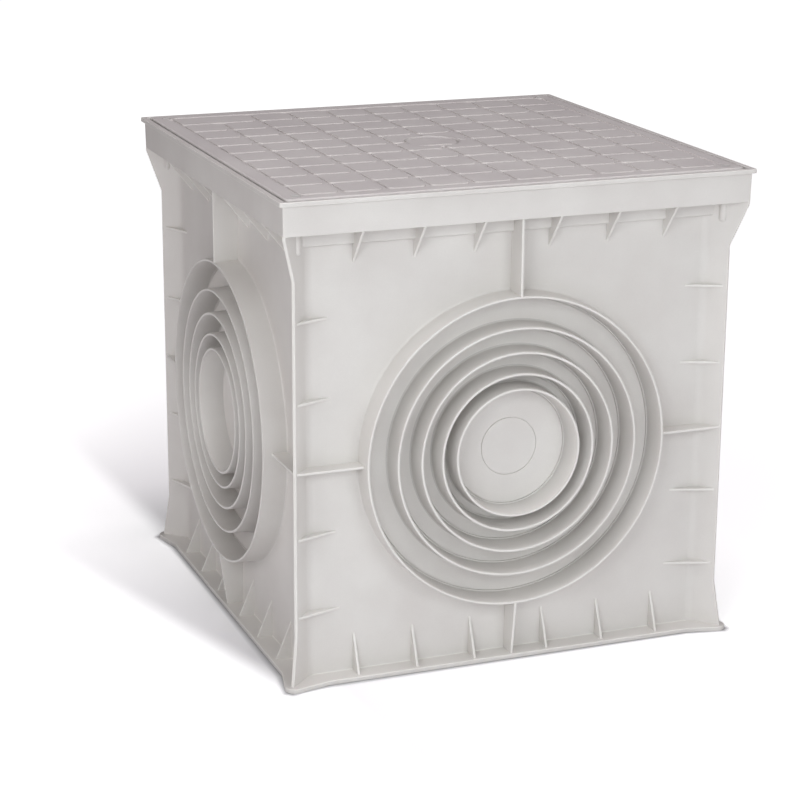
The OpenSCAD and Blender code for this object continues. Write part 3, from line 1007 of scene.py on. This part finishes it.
def clearOfFoot(tree, place):
    # 0 along the flange's outline, and 1 from the width of the painted contact shadow outwards
    side, corner = chamber["flangeHalf"], chamber["flangeCorner"]
    fromMiddle = addNode(tree, "ShaderNodeVectorMath", {"operation": "ABSOLUTE"}, None,
                         {0: (place, "Object")})
    axes = addNode(tree, "ShaderNodeSeparateXYZ", None, None, {"Vector": (fromMiddle, "Vector")})
    out = addNode(tree, "ShaderNodeMath", {"operation": "MAXIMUM"}, None,
                  {0: (axes, "X"), 1: (axes, "Y")})
    along = addNode(tree, "ShaderNodeMath", {"operation": "MINIMUM"}, None,
                    {0: (axes, "X"), 1: (axes, "Y")})
    flare = addNode(tree, "ShaderNodeMapRange", None,
                    {"From Min": side - chamber["flare"], "From Max": corner,
                     "To Min": 0.0, "To Max": corner - side}, {"Value": (along, "Value")})
    fromSide = addNode(tree, "ShaderNodeMath", {"operation": "SUBTRACT"}, None,
                       {0: (out, "Value"), 1: (flare, "Result")})
    diagonal = addNode(tree, "ShaderNodeVectorMath", {"operation": "DOT_PRODUCT"},
                       {1: (sqrt(0.5), sqrt(0.5), 0)}, {0: (fromMiddle, "Vector")})
    roundedCorner = sqrt(2) * (corner - chamber["flangeRadius"]) + chamber["flangeRadius"]
    fromCorner = addNode(tree, "ShaderNodeMath", {"operation": "SUBTRACT"},
                         {1: roundedCorner - side}, {0: (diagonal, "Value")})
    fromFlange = addNode(tree, "ShaderNodeMath", {"operation": "MAXIMUM"}, None,
                         {0: (fromSide, "Value"), 1: (fromCorner, "Value")})
    return addNode(tree, "ShaderNodeMapRange", None,
                   {"From Min": side, "From Max": side + studio["contact"]},
                   {"Value": (fromFlange, "Value")})


def floorGlow(tree, place, clear):
    # what only the camera sees: white far away, shaded left of the chamber, none at its very foot
    away = addNode(tree, "ShaderNodeVectorMath", {"operation": "LENGTH"}, None,
                   {0: (place, "Object")})
    glow = addNode(tree, "ShaderNodeMapRange", None,
                   {"From Min": studio["aroundReach"], "From Max": studio["farReach"],
                    "To Min": studio["glowAround"], "To Max": studio["glowFar"]},
                   {"Value": (away, "Value")})
    insideBack, back = shadowDepth(tree, place, backShadow)
    side = shadowDepth(tree, place, sideShadow)[1]
    beyond = addNode(tree, "ShaderNodeMath", {"operation": "SUBTRACT"}, {0: 1.0},
                     {1: (insideBack, "Result")})
    side = addNode(tree, "ShaderNodeMath", {"operation": "MULTIPLY"}, None,
                   {0: (side, "Value"), 1: (beyond, "Value")})
    shadows = addNode(tree, "ShaderNodeMath", {"operation": "ADD"}, None,
                      {0: (side, "Value"), 1: (back, "Value")})
    glow = addNode(tree, "ShaderNodeMath", {"operation": "SUBTRACT"}, None,
                   {0: (glow, "Result"), 1: (shadows, "Value")})
    glow = addNode(tree, "ShaderNodeMath", {"operation": "MULTIPLY"}, None,
                   {0: (glow, "Value"), 1: (clear, "Result")})
    path = addNode(tree, "ShaderNodeLightPath")
    return addNode(tree, "ShaderNodeMath", {"operation": "MULTIPLY"}, None,
                   {0: (glow, "Value"), 1: (path, "Is Camera Ray")})


def pageFloor():
    nothingPicked()
    bpy.ops.mesh.primitive_plane_add(size=studio["floorWide"], location=(0, 0, 0))
    floor = bpy.context.object
    floor.name = "floor"
    material, tree = newMaterial("matt white floor")
    place = addNode(tree, "ShaderNodeTexCoord")
    clear = clearOfFoot(tree, place)
    # the floor's own colour darkens toward the flange: a painted contact shadow
    tone = addNode(tree, "ShaderNodeMapRange", None,
                   {"To Min": studio["paintedContactShade"], "To Max": 1.0}, {"Value": (clear, "Result")})
    white = addNode(tree, "ShaderNodeVectorMath", {"operation": "SCALE"},
                    {0: linear(studio["floorColour"])[:3]}, {"Scale": (tone, "Result")})
    seen = floorGlow(tree, place, clear)
    matt = addNode(tree, "ShaderNodeBsdfDiffuse", None, None, {"Color": (white, "Vector")})
    glow = addNode(tree, "ShaderNodeEmission", None, {"Color": (1, 1, 1, 1)},
                   {"Strength": (seen, "Value")})
    both = addNode(tree, "ShaderNodeAddShader", None, None,
                   {0: (matt, "BSDF"), 1: (glow, "Emission")})
    addNode(tree, "ShaderNodeOutputMaterial", None, None, {"Surface": (both, "Shader")})
    floor.data.materials.append(material)


def softLamp(name, turn, height, distance, size, power, colour):
    turn, height = radians(turn), radians(height)
    aim = Vector((0, 0, lipTop / 2))
    direction = Vector((sin(turn) * cos(height), -cos(turn) * cos(height), sin(height)))
    place = aim + distance * direction
    nothingPicked()
    bpy.ops.object.light_add(type="AREA", location=place)
    lamp = bpy.context.object
    lamp.name = name
    lamp.data.energy = power
    lamp.data.color = linear(colour)[:3]
    lamp.data.shape = "SQUARE"
    lamp.data.size = size
    lamp.rotation_euler = (aim - place).to_track_quat("-Z", "Y").to_euler()


def studioAir():  # white to the camera, and almost no light on the chamber
    world = bpy.data.worlds.new("studio air")
    bpy.context.scene.world = world
    world.use_nodes = True
    tree = world.node_tree
    tree.nodes.clear()
    path = addNode(tree, "ShaderNodeLightPath")
    air = addNode(tree, "ShaderNodeBackground", None,
                  {"Color": (1, 1, 1, 1), "Strength": studio["air"]})
    white = addNode(tree, "ShaderNodeBackground", None, {"Color": (1, 1, 1, 1), "Strength": 1.0})
    mixed = addNode(tree, "ShaderNodeMixShader", None, None,
                    {0: (path, "Is Camera Ray"), 1: (air, "Background"), 2: (white, "Background")})
    addNode(tree, "ShaderNodeOutputWorld", None, None, {"Surface": (mixed, "Shader")})


print("floor and lights")
pageFloor()
for name, setting in studio["lamps"].items():
    softLamp(name + " lamp", *setting)
studioAir()

shot = {
    "azimuth": -21.054, "elevation": 16.636, "distance": 1990.8 * mm, "roll": 0.31,
    "aim": (0, 0, 200 * mm), "sideways": -25.7 * mm, "upwards": -30.7 * mm, "lens": 103.175,
}


def aimCamera():
    turn, tilt, roll = (radians(shot[k]) for k in ("azimuth", "elevation", "roll"))
    back = Vector((sin(turn) * cos(tilt), -cos(turn) * cos(tilt), sin(tilt)))
    right = Vector((0, 0, 1)).cross(back).normalized()
    up = back.cross(right)
    right, up = right * cos(roll) + up * sin(roll), up * cos(roll) - right * sin(roll)
    place = Vector(shot["aim"]) + back * shot["distance"]
    place += right * shot["sideways"] + up * shot["upwards"]
    nothingPicked()
    bpy.ops.object.camera_add()
    camera = bpy.context.object
    camera.name = "camera"
    camera.data.lens = shot["lens"]
    camera.data.sensor_width = 36
    camera.matrix_world = Matrix((right, up, back)).transposed().to_4x4()
    camera.matrix_world.translation = place
    bpy.context.scene.camera = camera


aimCamera()
bpy.context.scene.view_settings.view_transform = "Standard"

nothingPicked()
print("scene finished")
